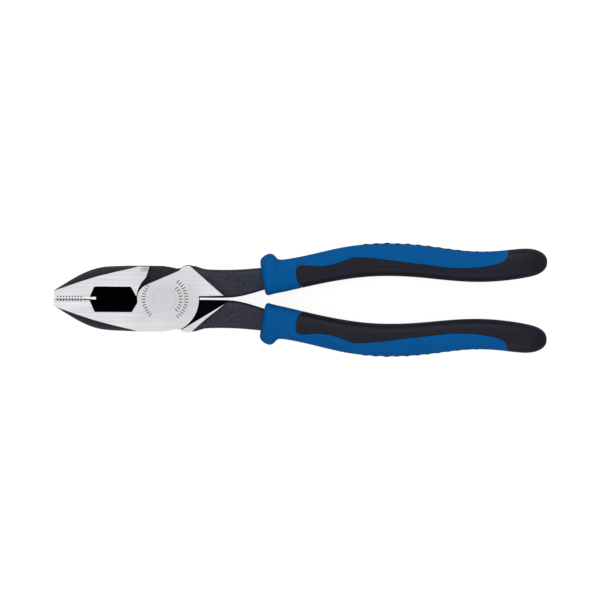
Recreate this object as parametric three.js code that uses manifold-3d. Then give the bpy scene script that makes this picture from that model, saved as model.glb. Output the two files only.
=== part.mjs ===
// Lineman pliers: two drop-forged halves on a hot-set rivet, with two-shot moulded grips.
// Millimetres. +X runs from the pivot to the handle ends, +Y is the side of the front half's
// handle, and +Z points out of the front ground face. The origin is on the pivot axis, in the
// plane of the rear ground face. The pliers are closed.

import * as THREE from 'three';
import { mergeVertices } from 'three/addons/utils/BufferGeometryUtils.js';
import { ConvexGeometry } from 'three/addons/geometries/ConvexGeometry.js';
import Module from 'manifold-3d';

const wasm = await Module();
wasm.setup();

// Driving dimensions

const HEAD_THICKNESS = 15.9; // over the two ground faces
const MID_Z = HEAD_THICKNESS / 2;
const TOUCH_GAP = 0.3; // left between pieces that touch or slide on each other

const NOSE_X = -54.3;
const NOSE_HALF_WIDTH = 3.9;
const HEAD_HALF_WIDTH = 15.9;

const TOOTH_PITCH = 1.4;
const TOOTH_DEPTH = 0.7;
const TOOTH_COUNT = 10;
const TOOTH_CREST_Y = 0.3; // from the closing plane to the tops of the teeth
const RELIEF_Y = 0.85; // the smooth relief between the teeth and the knives
const KNIFE_START_X = -34;

const RECESS_LEFT_X = -36.8;
const RECESS_RIGHT_X = -13.5;
const RECESS_WALL_DEPTH = 2.8; // upright wall, below it the knife bevels begin
const RECESS_OWN_SIDE = 6.7; // reach into the jaw that carries the disc on this face
const RECESS_OTHER_SIDE = 6.0;

const DISC_NOSE_RADIUS = 13.65; // the disc's edge towards the jaws
const SHOULDER_RADIUS = DISC_NOSE_RADIUS + TOUCH_GAP; // the hollow it turns in
const DISC_HANDLE_RADIUS = 16.2; // the disc's edge towards the handles

const BOSS_TOP_Y = 16.3; // the widest corner of the head, behind the joint
const FACE_END_X = 30.3; // where the ground face's slanting end meets the closing plane
const FACE_END_SLOPE = 0.886;
const SLIT_Y = 0.3; // half of the slit between the handles
const SLIT_END_X = 32.8;

const RIVET_RADIUS = 4.0;
const RIVET_HEAD_RADIUS = 5.4;
const RIVET_HEAD_DEPTH = 2.0;
const RIVET_CLEARANCE = 0.1;
const RIVET_FACETS = 64;

const SLEEVE_THICKNESS = 1.8; // outer shot of the grip
const SECTION_POINTS = 16;
const RIB_PITCH = 4.9;
const RIB_COUNT = 13;
const RIB_FIRST_X = 98.5;
const RIB_LENGTH = 3.4;
const RIB_HALF_WIDTH = 4.2;
const RIB_PROUD = 0.35;

const COLOURS = { steel: 0xc9cacd, rivet: 0xbfc0c4, black: 0x2a2a33, blue: 0x0c5596 };

// Solids

function toSolid(geometry) {
  const bare = geometry.clone();
  bare.deleteAttribute('normal');
  bare.deleteAttribute('uv');
  const merged = mergeVertices(bare, 1e-4);
  const vertProperties = new Float32Array(merged.attributes.position.array);
  const triVerts = new Uint32Array(merged.index.array);
  return new wasm.Manifold(new wasm.Mesh({ numProp: 3, vertProperties, triVerts }));
}

function toMesh(name, solid, colour, roughness, metalness) {
  const { vertProperties, triVerts } = solid.getMesh();
  const geometry = new THREE.BufferGeometry();
  geometry.setAttribute('position', new THREE.BufferAttribute(vertProperties, 3));
  geometry.setIndex(new THREE.BufferAttribute(triVerts, 1));
  geometry.computeVertexNormals();
  const material = new THREE.MeshStandardMaterial({ color: colour, roughness, metalness });
  const mesh = new THREE.Mesh(geometry, material);
  mesh.name = name;
  return mesh;
}

// A flat outline, [x, y] in order, as a slab from z = low to z = high.
function slab(outline, low, high) {
  const shape = new THREE.Shape(outline.map(([x, y]) => new THREE.Vector2(x, y)));
  const geometry = new THREE.ExtrudeGeometry(shape, { depth: high - low, bevelEnabled: false });
  return toSolid(geometry.translate(0, 0, low));
}

// A closed skin over rings of points, each ring convex and turning anticlockwise about the
// direction in which the rings follow each other.
function loft(rings) {
  const count = rings[0].length;
  const points = rings.flat();
  const faces = [];
  for (let r = 0; r < rings.length - 1; r += 1) {
    for (let i = 0; i < count; i += 1) {
      const a = r * count + i;
      const b = r * count + ((i + 1) % count);
      faces.push(a, b, b + count, a, b + count, a + count);
    }
  }
  const last = (rings.length - 1) * count;
  for (let i = 1; i < count - 1; i += 1) {
    faces.push(0, i + 1, i);
    faces.push(last, last + i, last + i + 1);
  }
  const geometry = new THREE.BufferGeometry().setFromPoints(points);
  geometry.setIndex(faces);
  return toSolid(geometry);
}

// A smooth curve through a few points, as steps + 1 [x, y] pairs.
function smooth(points, steps) {
  const curve = new THREE.SplineCurve(points.map(([x, y]) => new THREE.Vector2(x, y)));
  return curve.getPoints(steps).map((p) => [p.x, p.y]);
}

function arc(radius, fromDegrees, toDegrees, steps) {
  return Array.from({ length: steps + 1 }, (_, i) => {
    const angle = THREE.MathUtils.degToRad(fromDegrees + ((toDegrees - fromDegrees) * i) / steps);
    return [radius * Math.cos(angle), radius * Math.sin(angle)];
  });
}

// The forged half. It is drawn as the front half: lower jaw, front disc, upper handle.

// The jaw's outer edge, from the nose to just short of the joint's corner.
const jawEdge = smooth(
  [
    [NOSE_X, -NOSE_HALF_WIDTH],
    [-48.3, -7.7],
    [-42.5, -11.1],
    [-36.6, -13.8],
    [-30.8, -15.3],
    [-24, -15.8],
    [-14, -HEAD_HALF_WIDTH],
    [-1.5, -15.8],
    [6, -14.45],
  ],
  32,
);

// The jaw's inner edge, from the knives' heel at endX to the nose.
function jawFace(endX) {
  const edge = [
    [endX, -TOUCH_GAP / 2],
    [KNIFE_START_X, -TOUCH_GAP / 2],
    [KNIFE_START_X, -RELIEF_Y],
  ];
  const teethEndX = NOSE_X + (TOOTH_COUNT + 0.25) * TOOTH_PITCH;
  edge.push([teethEndX + 0.9, -RELIEF_Y]);
  edge.push([teethEndX, -TOOTH_CREST_Y]);
  for (let i = TOOTH_COUNT - 1; i >= 0; i -= 1) {
    const x = NOSE_X + (i + 0.5) * TOOTH_PITCH;
    edge.push([x + 0.3 * TOOTH_PITCH, -TOOTH_CREST_Y]);
    edge.push([x, -TOOTH_CREST_Y - TOOTH_DEPTH]);
    edge.push([x - 0.3 * TOOTH_PITCH, -TOOTH_CREST_Y]);
  }
  edge.push([NOSE_X, -TOOTH_CREST_Y]);
  return edge;
}

// The boss corner behind the joint, up to where the handle takes over. The handle's own shape
// comes from a loft, so beyond the boss the outlines only have to be generous.
const bossCorner = [
  [10.5, BOSS_TOP_Y],
  [9.6, BOSS_TOP_Y - 0.1],
  [8.4, 15.5],
];
const TANG_END_X = 170;
const handleRoom = [
  [TANG_END_X + 5, SLIT_Y / 2],
  [TANG_END_X + 5, 40],
  [10.5, 40],
];

// Front layer: jaw, disc and handle in one outline.
function frontOutline() {
  return [
    ...jawEdge,
    ...arc(DISC_HANDLE_RADIUS, -63.4, -1, 18),
    [DISC_HANDLE_RADIUS, SLIT_Y / 2],
    ...handleRoom,
    ...bossCorner,
    [6.6, 13.8],
    [-5.4, 8.6],
    ...smooth([[-7.9, 7.6], [-10.3, 6.4], [-12.1, 4.9], [-13.2, 3.0]], 6),
    ...arc(DISC_NOSE_RADIUS, 170, 180.6, 3),
    ...jawFace(-DISC_NOSE_RADIUS - 0.05),
  ];
}

// Rear layer: the jaw with the hollow for the other half's disc, and the handle's root.
function rearJawOutline() {
  return [
    ...jawEdge.filter(([x]) => x < -8.5),
    [-7.7, -HEAD_HALF_WIDTH],
    [-8.5, -13.4],
    ...arc(SHOULDER_RADIUS + 0.15, -131, -136, 1),
    ...arc(SHOULDER_RADIUS, -140, -179.4, 10),
    ...jawFace(-SHOULDER_RADIUS - 0.05),
  ];
}

function rearHandleOutline() {
  return [[7.9, 14.85], [SLIT_END_X, SLIT_Y / 2], ...handleRoom, ...bossCorner];
}

// The head's envelope: flanks that fall away from a ground face narrower than the silhouette.
const FLANKS = [
  // x, half width of the ground face, half width of the silhouette
  [NOSE_X - 1, 3.2, 3.4],
  [NOSE_X, 3.75, NOSE_HALF_WIDTH],
  [-48.3, 5.8, 8.0],
  [-42.5, 7.8, 11.4],
  [-36.6, 9.9, 14.1],
  [-30.8, 11.35, 15.6],
  [-23, 13.3, 16.1],
  [-13, 16.0, 16.2],
  [-9, 18, 18],
  [FACE_END_X + 1, 18, 18],
];
const FLANK_LAND = 3.4; // half height of the upright part of the flank

function headEnvelope() {
  const rings = FLANKS.map(([x, face, edge]) => [
    new THREE.Vector3(x, face, 0),
    new THREE.Vector3(x, edge, MID_Z - FLANK_LAND),
    new THREE.Vector3(x, edge, MID_Z + FLANK_LAND),
    new THREE.Vector3(x, face, HEAD_THICKNESS),
    new THREE.Vector3(x, -face, HEAD_THICKNESS),
    new THREE.Vector3(x, -edge, MID_Z + FLANK_LAND),
    new THREE.Vector3(x, -edge, MID_Z - FLANK_LAND),
    new THREE.Vector3(x, -face, 0),
  ]);
  const reach = 20;
  const endX = FACE_END_X - reach / FACE_END_SLOPE;
  const faceRegion = [
    [NOSE_X - 5, -reach],
    [endX, -reach],
    [FACE_END_X, 0],
    [endX, reach],
    [NOSE_X - 5, reach],
  ];
  return loft(rings).intersect(slab(faceRegion, -1, HEAD_THICKNESS + 1));
}

// The handle from the boss to the tip of the tang, an eight-sided bar that tapers.
const HANDLE = [
  // x, centre y, half width, half depth
  [9.5, 8.3, 8.0, 7.2],
  [13, 8.3, 8.0, 7.2],
  [14.5, 8.1, 7.8, 7.1],
  [17, 7.65, 7.35, 7.0],
  [21, 7.3, 7.0, 6.9],
  [28, 7.25, 6.95, 6.8],
  [33, 7.45, 6.85, 6.6],
  [37.6, 8.05, 6.4, 6.4],
  [43.5, 9.15, 5.8, 6.1],
  [49, 10.3, 5.2, 5.8],
  [57, 11.45, 4.7, 5.3],
  [66, 13.2, 4.3, 4.9],
  [75.7, 15.4, 4.2, 4.7],
  [85.5, 17.5, 4.1, 4.5],
  [95.2, 19.0, 4.0, 4.3],
  [107, 19.8, 3.9, 4.2],
  [119.6, 19.4, 3.9, 4.1],
  [129.4, 18.5, 3.8, 4.0],
  [139.2, 17.3, 3.7, 3.9],
  [148.9, 16.5, 3.6, 3.8],
  [160, 16.6, 3.3, 3.5],
  [TANG_END_X - 2, 17.3, 2.8, 3.1],
  [TANG_END_X, 17.55, 1.8, 2.2],
];
const HANDLE_CORNER = 0.42; // share of the half sizes taken off at each corner

function handleBar(grow) {
  const rings = HANDLE.map(([x, y, halfWidth, halfDepth], i) => {
    const a = halfWidth + grow;
    const b = halfDepth + grow;
    const [ca, cb] = [a * (1 - HANDLE_CORNER), b * (1 - HANDLE_CORNER)];
    const end = i === HANDLE.length - 1 ? grow : 0;
    const corners = [[a, -cb], [a, cb], [ca, b], [-ca, b], [-a, cb], [-a, -cb], [-ca, -b], [ca, -b]];
    return corners.map(([dy, dz]) => new THREE.Vector3(x + end, y + dy, MID_Z + dz));
  });
  return loft(rings);
}

// Knife recess on the front face: upright walls, then bevels down to the cutting edge.
function recess() {
  const top = [
    [RECESS_LEFT_X, 0.8],
    [-34.6, RECESS_OTHER_SIDE],
    [-16.8, RECESS_OTHER_SIDE],
    [-14.4, 2.0],
    [RECESS_RIGHT_X, 0.4],
    [RECESS_RIGHT_X, -1.9],
    [-16.7, -RECESS_OWN_SIDE],
    [-34.3, -RECESS_OWN_SIDE],
    [RECESS_LEFT_X, -0.8],
  ];
  const above = HEAD_THICKNESS + 2;
  const wallFoot = HEAD_THICKNESS - RECESS_WALL_DEPTH;
  const edge = [[-35.4, 0], [-14.6, 0]];
  const points = [
    ...top.map(([x, y]) => new THREE.Vector3(x, y, above)),
    ...top.map(([x, y]) => new THREE.Vector3(x, y, wallFoot)),
    ...edge.map(([x, y]) => new THREE.Vector3(x, y, MID_Z + 0.05)),
  ];
  return toSolid(new ConvexGeometry(points));
}

function rivetProfile(grow, overrun) {
  const headRadius = RIVET_HEAD_RADIUS + grow;
  const radius = RIVET_RADIUS + grow;
  const low = -overrun;
  const high = HEAD_THICKNESS + overrun;
  return [
    [0, low],
    [headRadius, low],
    [headRadius, 0],
    [radius, RIVET_HEAD_DEPTH],
    [radius, HEAD_THICKNESS - RIVET_HEAD_DEPTH],
    [headRadius, HEAD_THICKNESS],
    [headRadius, high],
    [0, high],
  ];
}

function rivetSolid(grow = 0, overrun = 0) {
  const profile = rivetProfile(grow, overrun)
    .filter(([r, z], i, all) => i === 0 || r !== all[i - 1][0] || z !== all[i - 1][1])
    .map(([r, z]) => new THREE.Vector2(r, z));
  const geometry = new THREE.LatheGeometry(profile, RIVET_FACETS).rotateX(Math.PI / 2);
  return toSolid(geometry);
}

// Half a turn about the axis through the middle of the head carries one half onto the other.
function turnedOver(solid) {
  return solid.rotate([180, 0, 0]).translate([0, 0, HEAD_THICKNESS]);
}

function forgedHalf() {
  const lapFront = MID_Z + TOUCH_GAP / 2;
  const joined = lapFront + 0.4;
  const layers = slab(frontOutline(), lapFront, HEAD_THICKNESS)
    .add(slab(rearJawOutline(), 0, joined))
    .add(slab(rearHandleOutline(), 0, joined));
  const shaped = layers.intersect(headEnvelope().add(handleBar(0)));
  return shaped
    .subtract(recess())
    .subtract(turnedOver(recess()))
    .subtract(rivetSolid(RIVET_CLEARANCE, 1));
}

// The grip, drawn on the upper handle: a stack of rounded sections square to its centre line.

const GRIP = [
  // x, centre y, half width, half depth
  [46.8, 12.0, 6.9, 7.3],
  [47.3, 12.05, 8.6, 9.0],
  [48.6, 12.1, 9.7, 10.0],
  [50.6, 12.05, 10.15, 10.3],
  [52.6, 11.85, 9.7, 10.0],
  [54.4, 11.5, 8.8, 9.3],
  [56.6, 11.5, 8.0, 8.8],
  [60, 12.0, 7.7, 8.6],
  [66, 13.2, 7.5, 8.5],
  [75.7, 15.4, 7.5, 8.6],
  [85.5, 17.5, 7.85, 8.7],
  [95.2, 19.0, 7.95, 8.8],
  [107, 19.8, 8.0, 8.8],
  [119.6, 19.4, 7.95, 8.6],
  [129.4, 18.5, 7.85, 8.4],
  [139.2, 17.3, 7.65, 8.2],
  [148.9, 16.5, 7.5, 8.1],
  [158.7, 16.5, 7.4, 8.1],
  [168.5, 17.45, 7.4, 8.2],
  [174.5, 18.3, 7.25, 8.2],
  [179, 18.8, 6.8, 7.9],
  [182.4, 18.95, 5.5, 7.0],
  [184.8, 18.95, 3.8, 5.4],
  [186.3, 18.95, 1.7, 2.8],
];
const SECTION_POWER = 2 / 2.6; // squarer than an ellipse

// Unit tangent of the centre line at station i, from its neighbours.
function gripTangent(i) {
  const before = GRIP[Math.max(i - 1, 0)];
  const after = GRIP[Math.min(i + 1, GRIP.length - 1)];
  return new THREE.Vector2(after[0] - before[0], after[1] - before[1]).normalize();
}

function gripBody(grow, first = 0, last = GRIP.length - 1) {
  const rings = [];
  for (let i = first; i <= last; i += 1) {
    const [x, y, halfWidth, halfDepth] = GRIP[i];
    const t = gripTangent(i);
    const ring = [];
    for (let k = 0; k < SECTION_POINTS; k += 1) {
      const angle = (2 * Math.PI * k) / SECTION_POINTS;
      const [c, s] = [Math.cos(angle), Math.sin(angle)];
      const across = (halfWidth + grow) * Math.sign(c) * Math.abs(c) ** SECTION_POWER;
      const up = (halfDepth + grow) * Math.sign(s) * Math.abs(s) ** SECTION_POWER;
      ring.push(new THREE.Vector3(x - t.y * across, y + t.x * across, MID_Z + up));
    }
    rings.push(ring);
  }
  return loft(rings);
}

// The black palm panel and pommel, seen from the front. grow widens it all round.
function panel(grow) {
  const seam = smooth([[66.3, 16.4], [76, 16.8], [83, 17.5], [88.4, 19.5], [92, 20.95]], 12)
    .concat(smooth([[97, 20.8], [107, 19.9], [117, 18.6], [128, 17.3], [138.2, 16.1],
      [146, 15.9], [152.8, 16.3], [158.7, 17.2], [164, 18.6], [166.8, 20.8], [167.4, 24]], 20));
  const outline = [
    ...seam.map(([x, y]) => [x, y + grow]),
    [167.4 - grow, 40],
    [200, 40],
    [200, -10],
    [67.6 - grow, -10],
    [66.6 - grow, 6.3],
    [65.2 - grow, 8],
    [63.9 - grow, 14],
    [64.3 - grow, 15.5 + 0.4 * grow],
  ];
  return slab(outline.reverse(), -20, 40);
}

// One upright block for each rib on the grip's spine, reaching down to the core.
function ribBlocks(grow) {
  const blocks = [];
  for (let i = 0; i < RIB_COUNT; i += 1) {
    const x = RIB_FIRST_X + i * RIB_PITCH;
    const k = GRIP.findIndex((station) => station[0] > x);
    const [x0, y0] = GRIP[k - 1];
    const [x1, y1] = GRIP[k];
    const y = y0 + ((y1 - y0) * (x - x0)) / (x1 - x0);
    const lean = Math.atan2(y1 - y0, x1 - x0);
    const block = new THREE.BoxGeometry(RIB_LENGTH + 2 * grow, 8, 2 * (RIB_HALF_WIDTH + grow));
    block.translate(0, 8, 0).rotateZ(lean).translate(x, y, MID_Z);
    blocks.push(toSolid(block));
  }
  return blocks.reduce((all, block) => all.add(block));
}

const CORE_FIRST = 3; // station behind the guard where the inner shot starts
const CORE_END_ROOM = 1; // left in front of the inner shot, inside the guard

function gripCore() {
  const inner = gripBody(-SLEEVE_THICKNESS - TOUCH_GAP, CORE_FIRST);
  const ribs = gripBody(RIB_PROUD).intersect(ribBlocks(0));
  return inner.add(gripBody(0).intersect(panel(0))).add(ribs).subtract(handleBar(TOUCH_GAP));
}

function gripSleeve() {
  const hollowX = GRIP[CORE_FIRST][0] - CORE_END_ROOM;
  const behindGuard = slab([[hollowX, -30], [200, -30], [200, 60], [hollowX, 60]], -20, 40);
  const hollow = gripBody(-SLEEVE_THICKNESS, CORE_FIRST - 1).intersect(behindGuard);
  return gripBody(0)
    .subtract(hollow)
    .subtract(panel(TOUCH_GAP))
    .subtract(ribBlocks(TOUCH_GAP))
    .subtract(handleBar(TOUCH_GAP));
}

// Assembly

const frontHalf = forgedHalf();
const upperCore = gripCore();
const upperSleeve = gripSleeve();

const pliers = new THREE.Group();
pliers.name = 'lineman_pliers';
pliers.add(toMesh('front_half', frontHalf, COLOURS.steel, 0.35, 1));
pliers.add(toMesh('rear_half', turnedOver(frontHalf), COLOURS.steel, 0.35, 1));
pliers.add(toMesh('pivot_rivet', rivetSolid(), COLOURS.rivet, 0.3, 1));
pliers.add(toMesh('upper_grip_core', upperCore, COLOURS.black, 0.6, 0));
pliers.add(toMesh('upper_grip_sleeve', upperSleeve, COLOURS.blue, 0.5, 0));
pliers.add(toMesh('lower_grip_core', turnedOver(upperCore), COLOURS.black, 0.6, 0));
pliers.add(toMesh('lower_grip_sleeve', turnedOver(upperSleeve), COLOURS.blue, 0.5, 0));

export default pliers;
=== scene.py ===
import math

import bpy
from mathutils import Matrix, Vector


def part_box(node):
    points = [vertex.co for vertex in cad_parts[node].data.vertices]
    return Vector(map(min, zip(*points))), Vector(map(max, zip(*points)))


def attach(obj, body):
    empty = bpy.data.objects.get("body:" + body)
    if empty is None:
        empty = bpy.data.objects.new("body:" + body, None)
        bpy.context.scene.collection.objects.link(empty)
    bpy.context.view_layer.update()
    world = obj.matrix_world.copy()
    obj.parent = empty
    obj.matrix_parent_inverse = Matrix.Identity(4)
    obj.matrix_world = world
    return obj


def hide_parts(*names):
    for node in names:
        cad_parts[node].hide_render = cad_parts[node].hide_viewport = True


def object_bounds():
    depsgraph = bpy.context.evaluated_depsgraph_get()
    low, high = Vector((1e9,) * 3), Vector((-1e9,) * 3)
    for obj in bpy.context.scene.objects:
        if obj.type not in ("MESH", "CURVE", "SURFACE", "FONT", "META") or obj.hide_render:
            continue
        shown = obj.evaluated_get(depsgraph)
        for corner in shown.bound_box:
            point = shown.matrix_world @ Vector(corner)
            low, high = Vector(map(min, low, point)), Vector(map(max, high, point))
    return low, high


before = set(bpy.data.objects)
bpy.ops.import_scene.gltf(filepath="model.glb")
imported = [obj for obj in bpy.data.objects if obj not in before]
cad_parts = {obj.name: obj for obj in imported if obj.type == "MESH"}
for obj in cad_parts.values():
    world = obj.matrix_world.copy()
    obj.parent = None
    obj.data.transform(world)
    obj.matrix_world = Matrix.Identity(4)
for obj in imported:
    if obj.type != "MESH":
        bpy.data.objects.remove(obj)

cad_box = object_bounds()

# ---------------------------------------------------------------------------------------------
# FRONT HALF
# A drop forging of tool steel: lower jaw with teeth and knife, half-thick joint disc, upper
# handle and its tang. The faces of the head are ground flat and brushed lengthwise, and the
# rest keeps its black oxide. Outlines are in millimetres from the pivot, seen from the front.
# ---------------------------------------------------------------------------------------------

MM = 0.001
rivet_low, rivet_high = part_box("pivot_rivet")
REAR_FACE, FRONT_FACE = rivet_low.z, rivet_high.z
MIDDLE = (REAR_FACE + FRONT_FACE) / 2
HALF_THICKNESS = MIDDLE - REAR_FACE
NOSE_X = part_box("front_half")[0].x / MM
TANG_TIP_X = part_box("front_half")[1].x / MM
LAP_GAP = 0.3 * MM
EDGE_BREAK = 0.1 * MM
JOIN_OVERLAP = 0.25 * MM

# These are in millimetres, as the outlines are.
KNIFE_GAP = 0.03
KNIFE_TOE_X = -34.0
RELIEF_Y = 0.7
CREST_Y = 0.47
GROOVE_PITCH = 1.42
GROOVE_COUNT = 9
FIRST_GROOVE_X = NOSE_X + 1.95
TEETH_END_X = FIRST_GROOVE_X + (GROOVE_COUNT - 0.3) * GROOVE_PITCH
DISC_RADIUS = 13.65
SHOULDER_RADIUS = 13.95
DISC_HEEL_RADIUS = 16.6
SLIT_FACE_Y = 1.8


def clear_selection():
    if bpy.context.object and bpy.context.object.mode != "OBJECT":
        bpy.ops.object.mode_set(mode="OBJECT")
    bpy.ops.object.select_all(action="DESELECT")


def pick(piece):
    clear_selection()
    piece.select_set(True)
    bpy.context.view_layer.objects.active = piece


def settle(piece):
    """Writes the piece's place into its mesh."""
    pick(piece)
    bpy.ops.object.transform_apply(location=True, rotation=True, scale=True)


def edit_faces_towards(piece, direction):
    """Opens the piece in edit mode with only the faces picked that look that way."""
    pick(piece)
    bpy.ops.object.mode_set(mode="EDIT")
    bpy.ops.mesh.select_all(action="DESELECT")
    bpy.ops.mesh.select_mode(type="FACE")
    bpy.ops.object.mode_set(mode="OBJECT")
    for face in piece.data.polygons:
        face.select = face.normal.dot(Vector(direction)) > 0.9
    bpy.ops.object.mode_set(mode="EDIT")


def one_piece(parts):
    """The parts joined as one object, which need not touch."""
    clear_selection()
    for part in parts:
        part.select_set(True)
    bpy.context.view_layer.objects.active = parts[0]
    bpy.ops.object.join()
    settle(parts[0])
    return parts[0]


def arc(radius, start, end, steps):
    angles = [math.radians(start + (end - start) * i / steps) for i in range(steps + 1)]
    return [(radius * math.cos(a), radius * math.sin(a)) for a in angles]


def plate(name, outline, low, high, edge=0):
    """A flat bar of steel sawn to an outline: a point drawn round it, filled, and pulled up.
    The sharp edge round its top is broken by the given width."""
    clear_selection()
    x, y = outline[0]
    bpy.ops.mesh.primitive_plane_add(size=MM, location=(x * MM, y * MM, low))
    piece = bpy.context.object
    piece.name = name
    bpy.ops.object.mode_set(mode="EDIT")
    bpy.ops.mesh.merge(type="CENTER")
    for (x0, y0), (x1, y1) in zip(outline, outline[1:]):
        step = ((x1 - x0) * MM, (y1 - y0) * MM, 0)
        bpy.ops.mesh.extrude_vertices_move(TRANSFORM_OT_translate={"value": step})
    bpy.ops.mesh.select_all(action="SELECT")
    bpy.ops.mesh.edge_face_add()
    bpy.ops.mesh.extrude_region_move(TRANSFORM_OT_translate={"value": (0, 0, high - edge - low)})
    if edge:
        bpy.ops.mesh.inset(thickness=edge, depth=0)
        bpy.ops.transform.translate(value=(0, 0, edge))
    bpy.ops.mesh.select_all(action="SELECT")
    bpy.ops.mesh.normals_make_consistent(inside=False)
    settle(piece)
    return piece


def drawn_bar(name, stations, squareness, points=32, square_on=False, smooth=2):
    """A rounded bar pulled out of a ring, station by station: x, centre y, half width and half
    depth. A squareness of 2 is an ellipse. square_on keeps the sections square to X."""
    x, y, half_width, half_depth = stations[0]
    centre = (x * MM, y * MM, MIDDLE)
    clear_selection()
    bpy.ops.mesh.primitive_circle_add(vertices=points, radius=MM, fill_type="NGON",
                                      location=centre, rotation=(0, math.pi / 2, 0))
    bar = bpy.context.object
    bar.name = name
    settle(bar)
    bpy.ops.object.mode_set(mode="EDIT")
    bpy.ops.mesh.select_mode(type="VERT")
    # The ring's points are moved out four at a time, from a circle to the squarer section.
    for k in range(points // 4 + 1):
        angle = 2 * math.pi * k / points
        spread = (math.cos(angle) ** squareness + math.sin(angle) ** squareness) ** (-1 / squareness)
        bpy.ops.mesh.select_all(action="DESELECT")
        bpy.ops.object.mode_set(mode="OBJECT")
        for vertex in bar.data.vertices:
            across = abs(vertex.co.y - centre[1]) / MM
            vertex.select = abs(math.asin(min(across, 1)) - angle) < 0.01
        bpy.ops.object.mode_set(mode="EDIT")
        bpy.ops.transform.resize(value=(1, spread, spread), center_override=centre)
    bpy.ops.mesh.select_all(action="SELECT")
    bpy.ops.transform.resize(value=(1, half_width, half_depth), center_override=centre)

    leans = [0.0] * len(stations)
    if not square_on:
        for i in range(len(stations)):
            before, after = stations[max(i - 2, 0)], stations[min(i + 2, len(stations) - 1)]
            leans[i] = math.atan2(after[1] - before[1], after[0] - before[0])
        bpy.ops.transform.rotate(value=-leans[0], orient_axis="Z", center_override=centre)
    for i in range(1, len(stations)):
        old, new = stations[i - 1], stations[i]
        step = ((new[0] - old[0]) * MM, (new[1] - old[1]) * MM, 0)
        centre = (new[0] * MM, new[1] * MM, MIDDLE)
        bpy.ops.mesh.extrude_region_move(TRANSFORM_OT_translate={"value": step})
        bpy.ops.transform.rotate(value=leans[i - 1], orient_axis="Z", center_override=centre)
        growth = (1, new[2] / old[2], new[3] / old[3])
        bpy.ops.transform.resize(value=growth, center_override=centre)
        bpy.ops.transform.rotate(value=-leans[i], orient_axis="Z", center_override=centre)
    bpy.ops.mesh.select_all(action="SELECT")
    bpy.ops.mesh.normals_make_consistent(inside=False)
    pick(bar)
    if smooth:
        bpy.ops.object.modifier_add(type="SUBSURF")
        bar.modifiers[-1].levels = bar.modifiers[-1].render_levels = smooth
        bpy.ops.object.modifier_apply(modifier=bar.modifiers[-1].name)
    return bar


def work(piece, tool, operation):
    """Joins (UNION), cuts (DIFFERENCE) or trims (INTERSECT) a piece with a tool, then drops it."""
    pick(piece)
    bpy.ops.object.modifier_add(type="BOOLEAN")
    modifier = piece.modifiers[-1]
    modifier.operation = operation
    modifier.object = tool
    modifier.solver = "EXACT"
    bpy.ops.object.modifier_apply(modifier=modifier.name)
    bpy.data.objects.remove(tool)


def copy_of(piece, name):
    """Another of the same shape, with a mesh of its own."""
    copy = bpy.data.objects.new(name, piece.data.copy())
    bpy.context.scene.collection.objects.link(copy)
    return copy


def turn_over(piece):
    """Half a turn about the line through the middle of the head, along the pliers."""
    pick(piece)
    bpy.ops.transform.rotate(value=math.pi, orient_axis="X", center_override=(0, 0, MIDDLE))
    settle(piece)


mouth = [
    (KNIFE_TOE_X, -KNIFE_GAP / 2),
    (KNIFE_TOE_X, -RELIEF_Y),
    (TEETH_END_X + 0.5, -RELIEF_Y),
    (TEETH_END_X, -CREST_Y),
    (NOSE_X, -CREST_Y),
    (NOSE_X, -9),
    (-42, -17),
    (-27, -17),
    (-22, -16.1),
    (-15, -15.9),
]
boss_corner = [(12.0, 16.35), (9.8, 16.3), (8.4, 15.6)]
front_layer = (
    mouth
    + [(-1.5, -15.8), (2.4, -15.25), (5.4, -14.6)]
    + arc(DISC_HEEL_RADIUS, -63.2, 5.2, 24)
    + [(28.6, SLIT_FACE_Y)]
    + boss_corner
    + [(6.6, 13.85), (-5.4, 8.6), (-7.4, 7.75), (-9.2, 6.95), (-10.7, 6.05), (-11.9, 4.95)]
    + [(-12.75, 3.8)]
    + arc(DISC_RADIUS, 169, 180, 4)
)
lap_front = MIDDLE + LAP_GAP / 2
joined = lap_front + JOIN_OVERLAP
front_half = plate("front_half_steel", front_layer, lap_front, FRONT_FACE, EDGE_BREAK)

rear_jaw = (
    mouth
    + [(-7.7, -15.85), (-8.4, -13.4), (-9.2, -11.0)]
    + arc(SHOULDER_RADIUS, -135, -180, 16)
)
work(front_half, plate("rear_jaw", rear_jaw, REAR_FACE, joined), "UNION")
rear_boss = [
    (7.9, 15.1), (29.4, 2.1), (20.2, 9.35), (15.0, 14.0), (12.8, 16.1), (11.4, 16.3),
    (9.8, 16.2), (8.4, 15.65),
]
work(front_half, plate("rear_boss", rear_boss, REAR_FACE, joined), "UNION")

# The flanks: the forging is round-backed, and grinding it flat leaves faces that narrow
# towards the nose.
back = [
    # x, centre y, half width, half depth
    (-58, 0, 1.6, 26), (-56, 0, 2.75, 27), (-54.3, 0, 3.95, 22), (-52.2, 0, 5.3, 14.4),
    (-50.3, 0, 6.5, 12.9), (-48.3, 0, 7.75, 12.1), (-46.4, 0, 8.95, 11.6), (-42.5, 0, 11.2, 11.2),
    (-38.6, 0, 13.1, 11.1), (-34.7, 0, 14.55, 11.4), (-30.8, 0, 15.4, 11.9), (-26.9, 0, 15.75, 12.9),
    (-23, 0, 15.9, 14.7), (-19, 0, 16.0, 17.5), (-15, 0, 16.3, 22), (-11, 0, 17, 32),
    (-6, 0, 19, 45), (2, 0, 22, 60), (34, 0, 26, 60),
]
back_bar = drawn_bar("back", back, squareness=2, points=48, square_on=True, smooth=1)
work(front_half, back_bar, "INTERSECT")

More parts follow.
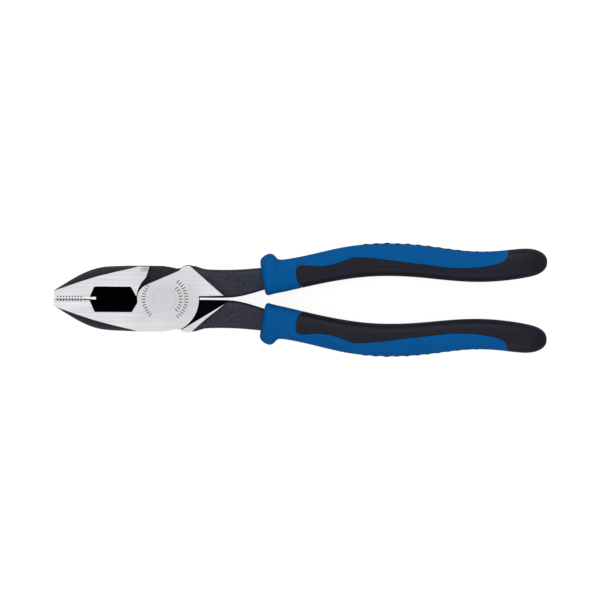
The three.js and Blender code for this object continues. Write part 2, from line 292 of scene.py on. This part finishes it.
# The handle, a rounded bar from inside the boss to the tip of the tang.
handle = [
    (10.5, 7.95, 7.5, 6.0), (12.2, 8.2, 7.85, 6.5), (13.8, 8.25, 7.9, 6.6), (15.2, 8.0, 7.65, 6.6),
    (16.7, 7.78, 7.27, 6.6), (18.6, 7.57, 7.03, 6.6), (21, 7.42, 6.88, 6.6), (28, 7.37, 6.83, 6.5),
    (33, 7.5, 6.8, 6.4), (37.6, 8.05, 6.45, 6.3), (43.5, 9.15, 5.85, 6.1), (49, 10.3, 5.2, 5.8),
    (57, 11.45, 4.65, 5.3), (66, 13.2, 4.25, 4.9), (75.7, 15.4, 4.1, 4.6), (85.5, 17.5, 4.0, 4.4),
    (95.2, 19.0, 3.9, 4.2), (107, 19.8, 3.8, 4.1), (119.6, 19.4, 3.8, 4.0), (129.4, 18.5, 3.7, 3.9),
    (139.2, 17.3, 3.6, 3.8), (148.9, 16.5, 3.5, 3.7), (160, 16.6, 3.2, 3.4),
    (TANG_TIP_X - 2, 17.3, 2.7, 3.0), (TANG_TIP_X - 0.3, 17.5, 1.7, 2.0),
]
bar = drawn_bar("handle_bar", handle, squareness=4.5, points=32, smooth=1)
lap_room = [(-10, -5), (41.1, -5), (7.9, 15.1), (3, 18.06), (-10, 18.06)]
work(bar, plate("lap_room", lap_room, REAR_FACE - 2 * MM, lap_front), "DIFFERENCE")
work(front_half, bar, "UNION")

# The knives: a pocket ground into each face, with upright walls and bevels that run down to the
# cutting edge, a narrow land at the middle of the thickness.
POCKET_WALL = 2.8 * MM
HALF_LAND = 0.5 * MM
BEVEL_TAPER = (0.9, 0.01, 1)
BEVEL_CENTRE = (-25 * MM, 0, MIDDLE)
pocket_outline = [
    (-36.8, -0.8), (-34.5, -6.2), (-34.0, -6.5), (-16.5, -6.5), (-16.0, -6.2),
    (-13.5, -1.9), (-13.5, 0.5), (-14.4, 2.0), (-16.5, 5.7), (-17.0, 6.0),
    (-34.2, 6.0), (-34.7, 5.7), (-36.8, 0.8),
]
pocket = plate("pocket", pocket_outline, FRONT_FACE - POCKET_WALL, FRONT_FACE + 2 * MM)
edit_faces_towards(pocket, (0, 0, -1))
down = MIDDLE + HALF_LAND - (FRONT_FACE - POCKET_WALL)
bpy.ops.mesh.extrude_region_move(TRANSFORM_OT_translate={"value": (0, 0, down)})
bpy.ops.transform.resize(value=BEVEL_TAPER, center_override=BEVEL_CENTRE)
settle(pocket)
rear_pocket = copy_of(pocket, "rear_pocket")
turn_over(rear_pocket)
work(front_half, pocket, "DIFFERENCE")
work(front_half, rear_pocket, "DIFFERENCE")

# The teeth: grooves milled across the jaw in rows, each row half a pitch off the next.
ROW_COUNT = 7
ROW_DEPTH = (FRONT_FACE - REAR_FACE) / ROW_COUNT
GROOVE_WIDTH = 0.69
GROOVE_ROOT_Y = 1.25
GROOVE_ROOT_TAPER = 0.8
for row in range(ROW_COUNT):
    first = FIRST_GROOVE_X - row % 2 * GROOVE_PITCH / 2
    low = REAR_FACE + row * ROW_DEPTH - (MM if row == 0 else 0)
    high = REAR_FACE + (row + 1) * ROW_DEPTH + (MM if row == ROW_COUNT - 1 else 0)
    clear_selection()
    bpy.ops.mesh.primitive_cube_add(
        size=1, scale=(GROOVE_WIDTH * MM, GROOVE_ROOT_Y * MM, high - low),
        location=(first * MM, -GROOVE_ROOT_Y / 2 * MM, (low + high) / 2))
    groove = bpy.context.object
    settle(groove)
    edit_faces_towards(groove, (0, -1, 0))
    bpy.ops.transform.resize(value=(GROOVE_ROOT_TAPER, 1, 1), center_override=(first * MM, 0, 0))
    pick(groove)
    bpy.ops.object.modifier_add(type="ARRAY")
    array = groove.modifiers[-1]
    array.count = GROOVE_COUNT
    array.use_relative_offset = False
    array.use_constant_offset = True
    array.constant_offset_displace = (GROOVE_PITCH * MM, 0, 0)
    bpy.ops.object.modifier_apply(modifier=array.name)
    work(front_half, groove, "DIFFERENCE")

# The stamping round the pivot: plain short ticks in arcs, struck into the face.
TICK_WIDTH = 0.42 * MM
TICK_DEPTH = 0.22 * MM
TICK_ARCS = [
    # inner and outer radius, first and last angle, number of ticks
    (9.6, 11.4, 143, 227, 12),
    (9.6, 11.4, -54, 54, 15),
    (6.9, 8.6, -44, 44, 9),
]
ticks = []
for inner, outer, start, end, count in TICK_ARCS:
    for i in range(count):
        angle = math.radians(start + (end - start) * i / (count - 1))
        reach = (inner + outer) / 2 * MM
        clear_selection()
        bpy.ops.mesh.primitive_cube_add(
            size=1, scale=((outer - inner) * MM, TICK_WIDTH, 2 * TICK_DEPTH),
            location=(reach * math.cos(angle), reach * math.sin(angle), FRONT_FACE),
            rotation=(0, 0, angle))
        ticks.append(bpy.context.object)
work(front_half, one_piece(ticks), "DIFFERENCE")

# The rivet hole, countersunk in both faces.
HEAD_RADIUS = 5.4 * MM
STEM_RADIUS = 4.0 * MM
HEAD_DEPTH = 2.0 * MM
RIVET_SEAM = 0.04 * MM


def rivet_body(name, grow, overrun):
    """A stem with a countersunk head at each end, turned a little larger and longer for a hole."""
    clear_selection()
    bpy.ops.mesh.primitive_circle_add(vertices=96, radius=HEAD_RADIUS + grow, fill_type="NGON",
                                      location=(0, 0, REAR_FACE - overrun))
    body = bpy.context.object
    body.name = name
    settle(body)
    bpy.ops.object.mode_set(mode="EDIT")
    thickness = FRONT_FACE - REAR_FACE
    waist = (STEM_RADIUS + grow) / (HEAD_RADIUS + grow)
    lifts = [(overrun, 1), (HEAD_DEPTH, waist), (thickness - 2 * HEAD_DEPTH, 1),
             (HEAD_DEPTH, 1 / waist), (overrun, 1)]
    for lift, growth in lifts:
        if lift:
            bpy.ops.mesh.extrude_region_move(TRANSFORM_OT_translate={"value": (0, 0, lift)})
            bpy.ops.transform.resize(value=(growth, growth, 1), center_override=(0, 0, 0))
    bpy.ops.mesh.select_all(action="SELECT")
    bpy.ops.mesh.normals_make_consistent(inside=False)
    settle(body)
    return body


work(front_half, rivet_body("rivet_hole", RIVET_SEAM, MM), "DIFFERENCE")


def new_group(name, inputs, outputs):
    """A shader node group with named inputs (name, kind, value) and outputs (name, kind)."""
    group = bpy.data.node_groups.new(name, "ShaderNodeTree")
    for title, kind, value in inputs:
        socket = group.interface.new_socket(name=title, in_out="INPUT", socket_type=kind)
        socket.default_value = value
    for title, kind in outputs:
        group.interface.new_socket(name=title, in_out="OUTPUT", socket_type=kind)
    nodes = group.nodes
    return group, nodes, nodes.new("NodeGroupInput"), nodes.new("NodeGroupOutput")


FLOAT, VECTOR = "NodeSocketFloat", "NodeSocketVector"


def worked_out(tree, kind, operation, *values):
    """The result of a Math or Vector Math node, fed by sockets and plain values."""
    node = tree.nodes.new(kind)
    node.operation = operation
    for socket, value in zip(node.inputs, values):
        if hasattr(value, "links"):
            tree.links.new(value, socket)
        else:
            socket.default_value = value
    return node.outputs[0]


def number(tree, operation, *values):
    return worked_out(tree, "ShaderNodeMath", operation, *values)


def vector(tree, operation, *values):
    return worked_out(tree, "ShaderNodeVectorMath", operation, *values)


def noise(tree, place, scale, detail):
    node = tree.nodes.new("ShaderNodeTexNoise")
    node.inputs["Detail"].default_value = detail
    tree.links.new(place, node.inputs["Vector"])
    if hasattr(scale, "links"):
        tree.links.new(scale, node.inputs["Scale"])
    else:
        node.inputs["Scale"].default_value = scale
    return node.outputs["Fac"]


def brushed_grain():
    """Long fine scratches along X in two sizes, and a fainter broad unevenness."""
    group, nodes, given, result = new_group(
        "brushed_grain",
        [("Length", FLOAT, 60.0), ("Fineness", FLOAT, 2600.0), ("Broad Size", FLOAT, 90.0)],
        [("Scratches", FLOAT), ("Broad", FLOAT)])
    place = nodes.new("ShaderNodeTexCoord").outputs["Object"]
    stretch = nodes.new("ShaderNodeCombineXYZ")
    group.links.new(given.outputs["Length"], stretch.inputs["X"])
    group.links.new(given.outputs["Fineness"], stretch.inputs["Y"])
    group.links.new(given.outputs["Fineness"], stretch.inputs["Z"])
    stretched = vector(group, "MULTIPLY", place, stretch.outputs[0])
    fine = noise(group, stretched, 1.0, 2.0)
    coarse = noise(group, stretched, 0.31, 2.0)
    both = number(group, "ADD", fine, coarse)
    group.links.new(number(group, "MULTIPLY", both, 0.5), result.inputs["Scratches"])
    group.links.new(noise(group, place, given.outputs["Broad Size"], 2.0), result.inputs["Broad"])
    return group


def surface_speckle():
    """Fine pitting of a scaled or moulded surface, and clouds of a larger size."""
    group, nodes, given, result = new_group(
        "surface_speckle",
        [("Size", FLOAT, 2500.0), ("Cloud Size", FLOAT, 150.0)],
        [("Speckle", FLOAT), ("Cloud", FLOAT)])
    place = nodes.new("ShaderNodeTexCoord").outputs["Object"]
    group.links.new(noise(group, place, given.outputs["Size"], 2.0), result.inputs["Speckle"])
    group.links.new(noise(group, place, given.outputs["Cloud Size"], 3.0), result.inputs["Cloud"])
    return group


def zone_mask():
    """1 inside a box, 0 outside it, with a soft edge."""
    group, nodes, given, result = new_group(
        "zone_mask",
        [("Centre", VECTOR, (0, 0, 0)), ("Half Size", VECTOR, (1, 1, 1)), ("Softness", FLOAT, MM)],
        [("Mask", FLOAT)])
    place = nodes.new("ShaderNodeTexCoord").outputs["Object"]
    offset = vector(group, "SUBTRACT", place, given.outputs["Centre"])
    beyond = vector(group, "SUBTRACT", vector(group, "ABSOLUTE", offset), given.outputs["Half Size"])
    parts = nodes.new("ShaderNodeSeparateXYZ")
    group.links.new(beyond, parts.inputs[0])
    widest = number(group, "MAXIMUM", parts.outputs["X"], parts.outputs["Y"])
    widest = number(group, "MAXIMUM", widest, parts.outputs["Z"])
    fade = number(group, "DIVIDE", widest, given.outputs["Softness"])
    mask = number(group, "SUBTRACT", 1.0, fade)
    clamp = nodes.new("ShaderNodeClamp")
    group.links.new(mask, clamp.inputs[0])
    group.links.new(clamp.outputs[0], result.inputs["Mask"])
    return group


brushed_group = brushed_grain()
speckle_group = surface_speckle()
zone_group = zone_mask()


def place_group(tree, group, **values):
    node = tree.nodes.new("ShaderNodeGroup")
    node.node_tree = group
    for title, value in values.items():
        node.inputs[title.replace("_", " ")].default_value = value
    return node


def zone(tree, low, high, softness):
    """Mask of a box given by its corners in millimetres, from the pivot and the middle plane."""
    centre = [(a + b) / 2 * MM for a, b in zip(low, high)]
    half = [(b - a) / 2 * MM for a, b in zip(low, high)]
    centre[2] += MIDDLE
    node = place_group(tree, zone_group, Centre=centre, Half_Size=half, Softness=softness * MM)
    return node.outputs["Mask"]


def ramp(tree, factor, low, high):
    """A colour between two, by a factor from 0.35 to 0.65, where noise mostly lies."""
    node = tree.nodes.new("ShaderNodeValToRGB")
    node.color_ramp.elements[0].position = 0.35
    node.color_ramp.elements[1].position = 0.65
    node.color_ramp.elements[0].color = (*low, 1)
    node.color_ramp.elements[1].color = (*high, 1)
    tree.links.new(factor, node.inputs[0])
    return node.outputs[0]


def blend(tree, factor, first, second, kind="FLOAT"):
    """The first value where the factor is 0, the second where it is 1."""
    node = tree.nodes.new("ShaderNodeMix")
    node.data_type = kind
    sockets = [socket for socket in node.inputs if socket.enabled]
    for socket, value in zip(sockets, (factor, first, second)):
        if hasattr(value, "links"):
            tree.links.new(value, socket)
        else:
            socket.default_value = value
    return next(socket for socket in node.outputs if socket.enabled)


def bumpy(tree, shader, height, strength):
    bump = tree.nodes.new("ShaderNodeBump")
    bump.inputs["Strength"].default_value = strength
    bump.inputs["Distance"].default_value = 0.05 * MM
    tree.links.new(height, bump.inputs["Height"])
    tree.links.new(bump.outputs[0], shader.inputs["Normal"])


def blank_material(name):
    material = bpy.data.materials.new(name)
    material.use_nodes = True
    return material, material.node_tree, material.node_tree.nodes["Principled BSDF"]


def ground_steel(tree, brushed):
    """Colour and roughness of brushed steel, a little duller round the joint."""
    bright = ramp(tree, brushed.outputs["Scratches"], (0.57, 0.577, 0.595), (0.735, 0.742, 0.762))
    joint = zone(tree, (-6, -5, -12), (11, 5, 12), 15)
    duller = blend(tree, number(tree, "MULTIPLY", joint, 0.8), bright, (0.505, 0.515, 0.53, 1), "RGBA")
    roughness = number(tree, "MULTIPLY_ADD", brushed.outputs["Broad"], 0.2, 0.27)
    return duller, roughness


def finished(piece, material, crease, body, node):
    """Gives a piece its finish and its place on the tool. Edges sharper than the crease stay
    crisp, and the rest is shaded smooth."""
    pick(piece)
    bpy.ops.object.shade_smooth_by_angle(angle=crease)
    piece.data.materials.clear()
    piece.data.materials.append(material)
    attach(piece, body)
    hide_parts(node)


STEEL_CREASE = math.radians(28)
FACE_SKIN = 0.12
BURNT_FROM, BURNT_FADE = 2.6, 2.4
STAMP_SKIN = 0.4
half_mm = HALF_THICKNESS / MM


def below_faces(tree, depth, softness):
    """Mask of all that lies deeper than this, in millimetres, below both ground faces."""
    return zone(tree, (-80, -40, depth - half_mm), (300, 40, half_mm - depth), softness)


steel, tree, shader = blank_material("forged_steel")
brushed = place_group(tree, brushed_group, Length=45.0, Fineness=3000.0, Broad_Size=70.0)
speckle = place_group(tree, speckle_group, Size=1500.0, Cloud_Size=160.0)
ground = number(tree, "SUBTRACT", 1.0, below_faces(tree, FACE_SKIN, 0.01))
bright, bright_roughness = ground_steel(tree, brushed)
# The corner of the upper jaw behind its flank is left rough from the grinding wheel.
rough_corner = zone(tree, (-11, 14.2, -9), (-8.7, 30, 9), 1.6)
place = tree.nodes.new("ShaderNodeTexCoord").outputs["Object"]
grit = noise(tree, vector(tree, "MULTIPLY", place, (1, 0.5, 1)), 900.0, 3.0)
mottle = number(tree, "MULTIPLY", rough_corner, grit)
bright = blend(tree, mottle, bright, (0.17, 0.18, 0.15, 1), "RGBA")
# Black oxide. It is thinner in the stamping, and darker on the flanks where the wheel burnt it. In the
# knife pockets and on the step behind the joint it is made near black, rough and metallic: painted
# shade standing in for the shade that falls in these deep places.
oxide = ramp(tree, speckle.outputs["Speckle"], (0.006, 0.0068, 0.014), (0.032, 0.0345, 0.055))
# Painted shade: the mask of the knife pockets, where the colour is darkened to stand for the shade
# inside them.
knife_pocket_shade = zone(tree, (-37.2, -6.9, -9), (-13.3, 6.9, 9), 0.1)
# Painted shade: the mask of the step behind the joint, darkened to stand for the shadow the disc casts
# on it.
heel_step_shade = zone(tree, (11.5, -12.5, -1.5), (30, 12.5, 1.5), 0.5)
painted_shade_places = number(tree, "MAXIMUM", knife_pocket_shade, heel_step_shade)
under_face = number(tree, "SUBTRACT", 1.0, below_faces(tree, BURNT_FROM, BURNT_FADE))
burnt = number(tree, "MULTIPLY", under_face, zone(tree, (-60, -20, -9), (-12, 20, 9), 3))
oxide = blend(tree, number(tree, "MULTIPLY", burnt, 0.95), oxide, (0.0025, 0.0025, 0.005, 1), "RGBA")
stamping = number(tree, "SUBTRACT", zone(tree, (-12.3, -12.3, -9), (12.3, 12.3, 9), 0.1),
                  below_faces(tree, STAMP_SKIN, 0.05))
oxide = blend(tree, stamping, oxide, (0.11, 0.10, 0.085, 1), "RGBA")
# The tops of the teeth are bright.
crests = zone(tree, (-60, -CREST_Y - 0.03, -9), (-39, CREST_Y + 0.03, 9), 0.04)
ground = number(tree, "MAXIMUM", ground, crests)
# Painted shade: the knife pockets turned near black.
oxide = blend(tree, knife_pocket_shade, oxide, (0.0028, 0.0025, 0.0055, 1), "RGBA")
# Painted shade: the step behind the joint turned darker.
oxide = blend(tree, heel_step_shade, oxide, (0.012, 0.011, 0.019, 1), "RGBA")
oxide_roughness = number(tree, "MULTIPLY_ADD", speckle.outputs["Cloud"], 0.2, 0.42)
# The painted shade places are also made rough and metallic, which darkens them further.
oxide_roughness = blend(tree, painted_shade_places, oxide_roughness, 0.85)
tree.links.new(blend(tree, ground, oxide, bright, "RGBA"), shader.inputs["Base Color"])
tree.links.new(blend(tree, ground, oxide_roughness, bright_roughness), shader.inputs["Roughness"])
tree.links.new(number(tree, "MAXIMUM", ground, painted_shade_places), shader.inputs["Metallic"])
shader.inputs["Specular IOR Level"].default_value = 0.25
height = blend(tree, ground, speckle.outputs["Speckle"], brushed.outputs["Scratches"])
bumpy(tree, shader, height, 0.3)
finished(front_half, steel, STEEL_CREASE, "front_lever", "front_half")

# ---------------------------------------------------------------------------------------------
# PIVOT RIVET
# A steel rivet set hot through both discs, its countersunk heads ground flush with the faces
# and brushed with them, so that only a hairline shows. It stays with the rear half.
# ---------------------------------------------------------------------------------------------

rivet = rivet_body("rivet", 0, 0)

rivet_finish, tree, shader = blank_material("rivet_steel")
brushed = place_group(tree, brushed_group, Length=45.0, Fineness=3000.0, Broad_Size=70.0)
bright, bright_roughness = ground_steel(tree, brushed)
tree.links.new(bright, shader.inputs["Base Color"])
tree.links.new(bright_roughness, shader.inputs["Roughness"])
shader.inputs["Metallic"].default_value = 1.0
bumpy(tree, shader, brushed.outputs["Scratches"], 0.3)
finished(rivet, rivet_finish, STEEL_CREASE, "rear_lever", "pivot_rivet")

# ---------------------------------------------------------------------------------------------
# REAR HALF
# The same forging turned over: upper jaw, rear disc and lower handle. The two discs lie one on
# the other in the laps, and the rivet holds them together.
# ---------------------------------------------------------------------------------------------

rear_half = copy_of(front_half, "rear_half_steel")
turn_over(rear_half)
finished(rear_half, steel, STEEL_CREASE, "rear_lever", "rear_half")

# ---------------------------------------------------------------------------------------------
# GRIPS
# Each grip is moulded on its handle in two shots: a black core round the tang, which shows as
# the palm panel, the pommel and the ribs on the spine, and a blue sleeve with a flared guard.
# ---------------------------------------------------------------------------------------------

SLEEVE_WALL = 1.8      # these are in millimetres
SEAM_GAP = 0.15
TANG_ROOM = 0.1
PANEL_END_X = 167.4
GRIP_CREASE = math.radians(35)
grip = [
    # x, centre y, half width, half depth
    (47.2, 11.75, 6.2, 6.8), (47.6, 11.8, 8.2, 8.8), (48.8, 12.05, 9.6, 10.1),
    (50.7, 12.2, 10.6, 10.45), (52.6, 11.9, 9.7, 10.0), (54.3, 11.4, 8.55, 9.25),
    (56.6, 11.4, 8.0, 8.9), (60, 12.0, 7.75, 8.65),
    (66, 13.2, 7.55, 8.5), (75.7, 15.4, 7.55, 8.6), (85.5, 17.55, 7.9, 8.75), (95.2, 19.05, 8.0, 8.8),
    (107, 19.85, 8.05, 8.8), (119.6, 19.45, 8.0, 8.6), (129.4, 18.5, 7.9, 8.4), (139.2, 17.3, 7.7, 8.2),
    (148.9, 16.45, 7.55, 8.1), (158.7, 16.45, 7.45, 8.1), (168.5, 17.45, 7.45, 8.2),
    (174.5, 18.3, 7.3, 8.2), (179, 18.8, 6.9, 7.9), (182.6, 18.95, 5.9, 7.0), (185.1, 18.95, 4.3, 5.5),
    (186.3, 18.95, 2.7, 3.7), (186.8, 18.95, 1.3, 1.9),
]


def grip_body(name, grow, first=0):
    stations = [(x, y, w + grow, d + grow) for x, y, w, d in grip[first:]]
    return drawn_bar(name, stations, squareness=2.6, points=24, smooth=2)


def spline(points, steps):
    """A smooth run through a few points."""
    run = [points[0]] + points + [points[-1]]
    found = []
    for p, q, r, s in zip(run, run[1:], run[2:], run[3:]):
        for k in range(steps):
            t = k / steps
            found.append(tuple(
                0.5 * (2 * b + (c - a) * t + (2 * a - 5 * b + 4 * c - d) * t * t
                       + (3 * b - a - 3 * c + d) * t ** 3)
                for a, b, c, d in zip(p, q, r, s)))
    return found + [points[-1]]


def panel_tool(grow):
    """Everything of a grip that is black when seen from the front or the back."""
    rise = spline([(66.3, 16.9), (69, 16.8), (73, 16.45), (77.5, 16.55), (82, 17.4), (86.5, 18.9),
                   (92, 20.9)], 4)
    fall = spline([(97, 20.8), (107, 19.9), (117, 18.6), (128, 17.3), (138.2, 16.1), (146, 15.9),
                   (152.8, 16.3), (158.7, 17.2), (163.8, 18.6), (166.6, 20.8), (PANEL_END_X, 24)], 4)
    outline = [(x, y + grow) for x, y in rise + fall]
    outline += [(PANEL_END_X - grow, 40), (200, 40), (200, -10), (67.8 - grow, -10), (66.6 - grow, 6.3)]
    outline += [(65.0 - grow, 8), (64.2 - grow, 11), (63.8 - grow, 14), (64.6 - grow, 16.0 + grow)]
    return plate("panel", outline, -20 * MM, 40 * MM)


RIB_PITCH = 4.9
RIB_COUNT = 13
RIB_FIRST_X = 98.5
RIB_HALF_LENGTH = 2.25
RIB_HALF_WIDTH = 3.6
RIB_HALF_HEIGHT = 1.0
RIB_PROUD = 0.16


def rib_tools(grow):
    """A row of low rounded pads across the spine, each a flattened ball sunk into it."""
    pads = []
    for i in range(RIB_COUNT):
        x = RIB_FIRST_X + i * RIB_PITCH
        before = max(station for station in grip if station[0] <= x)
        after = min(station for station in grip if station[0] > x)
        along = (x - before[0]) / (after[0] - before[0])
        centre_y, half_width = (before[k] + (after[k] - before[k]) * along for k in (1, 2))
        lean = math.atan2(after[1] - before[1], after[0] - before[0])
        sunk = RIB_HALF_HEIGHT - RIB_PROUD
        reach = half_width - sunk
        clear_selection()
        bpy.ops.mesh.primitive_uv_sphere_add(
            segments=24, ring_count=12, radius=1, rotation=(0, 0, lean),
            scale=[(r + grow) * MM for r in (RIB_HALF_LENGTH, RIB_HALF_HEIGHT, RIB_HALF_WIDTH)],
            location=((x - reach * math.sin(lean)) * MM, (centre_y + reach * math.cos(lean)) * MM,
                      MIDDLE))
        pads.append(bpy.context.object)
    return one_piece(pads)


def tang_tool(grow):
    """The part of the handle that the grip is moulded on."""
    stations = [(x, y, w + grow, d + grow) for x, y, w, d in handle if x > 30]
    x, y, w, d = stations[-1]
    stations[-1] = (x + grow, y, w, d)
    return drawn_bar("tang", stations, squareness=3.4, points=32, smooth=1)


GUARD_RING = 3         # the grip's station at the guard's widest, where the core begins
core = grip_body("upper_grip_black", -SLEEVE_WALL - SEAM_GAP, GUARD_RING)
panel_part = grip_body("panel_part", 0)
work(panel_part, panel_tool(0), "INTERSECT")
work(core, panel_part, "UNION")
work(core, rib_tools(0), "UNION")
work(core, tang_tool(TANG_ROOM), "DIFFERENCE")

sleeve = grip_body("upper_grip_blue", 0)
work(sleeve, grip_body("hollow", -SLEEVE_WALL, GUARD_RING), "DIFFERENCE")
work(sleeve, panel_tool(SEAM_GAP), "DIFFERENCE")
work(sleeve, rib_tools(SEAM_GAP), "DIFFERENCE")
work(sleeve, tang_tool(TANG_ROOM), "DIFFERENCE")

lower_core = copy_of(core, "lower_grip_black")
lower_sleeve = copy_of(sleeve, "lower_grip_blue")
turn_over(lower_core)
turn_over(lower_sleeve)


def moulded(name, low, high, roughness, gloss):
    """Soft plastic from a spark-finished mould: a fine grain and slightly cloudy colour."""
    material, tree, shader = blank_material(name)
    speckle = place_group(tree, speckle_group, Size=2400.0, Cloud_Size=70.0)
    mixed = number(tree, "MULTIPLY_ADD", speckle.outputs["Speckle"], 0.4,
                   number(tree, "MULTIPLY", speckle.outputs["Cloud"], 0.6))
    tree.links.new(ramp(tree, mixed, low, high), shader.inputs["Base Color"])
    uneven = number(tree, "MULTIPLY_ADD", speckle.outputs["Cloud"], 0.16, roughness)
    tree.links.new(uneven, shader.inputs["Roughness"])
    shader.inputs["Specular IOR Level"].default_value = gloss
    bumpy(tree, shader, speckle.outputs["Speckle"], 0.2)
    return material


black = moulded("grip_black", (0.0048, 0.0048, 0.012), (0.0095, 0.0095, 0.0205), 0.42, 0.18)
blue = moulded("grip_blue", (0.0005, 0.087, 0.292), (0.0011, 0.098, 0.322), 0.50, 0.04)
finished(core, black, GRIP_CREASE, "front_lever", "upper_grip_core")
finished(sleeve, blue, GRIP_CREASE, "front_lever", "upper_grip_sleeve")
finished(lower_core, black, GRIP_CREASE, "rear_lever", "lower_grip_core")
finished(lower_sleeve, blue, GRIP_CREASE, "rear_lever", "lower_grip_sleeve")

# ---------------------------------------------------------------------------------------------
# FLOOR
# A plain white sheet under the tool. It glows a little where the camera sees it, so that it
# stays white to its edges and still takes the tool's faint shadow.
# ---------------------------------------------------------------------------------------------

FLOOR_Z = cad_box[0][2] - 0.3 * MM
clear_selection()
bpy.ops.mesh.primitive_plane_add(size=6, location=(0.066, 0, FLOOR_Z))
floor = bpy.context.object
floor.name = "floor"
pale, tree, shader = blank_material("pale_floor")
shader.inputs["Base Color"].default_value = (0.3, 0.3, 0.3, 1)
shader.inputs["Roughness"].default_value = 0.9
shader.inputs["Specular IOR Level"].default_value = 0.05
shader.inputs["Emission Color"].default_value = (1, 1, 1, 1)
seen = tree.nodes.new("ShaderNodeLightPath").outputs["Is Camera Ray"]
tree.links.new(number(tree, "MULTIPLY_ADD", seen, 0.75, 0.12), shader.inputs["Emission Strength"])
floor.data.materials.append(pale)

# ---------------------------------------------------------------------------------------------
# LIGHT AND CAMERA
# A white room, a wide softbox overhead for the ground faces, and one low along each side. The
# camera looks nearly straight down, from a little towards the upper handle.
# ---------------------------------------------------------------------------------------------

ROOM_LIGHT = 0.55
world = bpy.data.worlds.new("studio")
bpy.context.scene.world = world
world.use_nodes = True
tree = world.node_tree
seen = tree.nodes.new("ShaderNodeLightPath").outputs["Is Camera Ray"]
strength = number(tree, "MULTIPLY_ADD", seen, 1 - ROOM_LIGHT, ROOM_LIGHT)
tree.nodes["Background"].inputs["Color"].default_value = (1, 1, 1, 1)
tree.links.new(strength, tree.nodes["Background"].inputs["Strength"])

SOFTBOXES = [
    # name, place, width and power
    ("overhead_softbox", Vector((0.05, 0.06, 0.95)), 0.9, 1.9),
    ("upper_side_softbox", Vector((0.06, 0.75, 0.42)), 0.55, 2.5),
    ("lower_side_softbox", Vector((0.06, -0.75, 0.42)), 0.55, 1.5),
]
LIT_POINT = Vector((0.06, 0, 0))
for name, place, size, power in SOFTBOXES:
    light = bpy.data.objects.new(name, bpy.data.lights.new(name, "AREA"))
    bpy.context.scene.collection.objects.link(light)
    light.data.size = size
    light.data.energy = power
    light.location = place
    light.rotation_euler = (LIT_POINT - place).to_track_quat("-Z", "Y").to_euler()

bpy.context.scene.view_settings.view_transform = "Standard"

FIELD_WIDTH = 0.2928           # what the frame takes in, at the front face of the head
LENS = 300.0
SENSOR = 36.0
TILT = math.radians(1.9)       # towards the front half's handle
ROLL = math.radians(-0.34)
AIM = Vector((0.0654, -0.00005, FRONT_FACE))
distance = FIELD_WIDTH * LENS / SENSOR
camera = bpy.data.objects.new("camera", bpy.data.cameras.new("camera"))
bpy.context.scene.collection.objects.link(camera)
camera.data.lens = LENS
camera.data.sensor_width = SENSOR
camera.data.clip_start = 0.05
camera.location = AIM + distance * Vector((0, math.sin(TILT), math.cos(TILT)))
camera.rotation_euler = (-TILT, 0, -ROLL)
bpy.context.scene.camera = camera
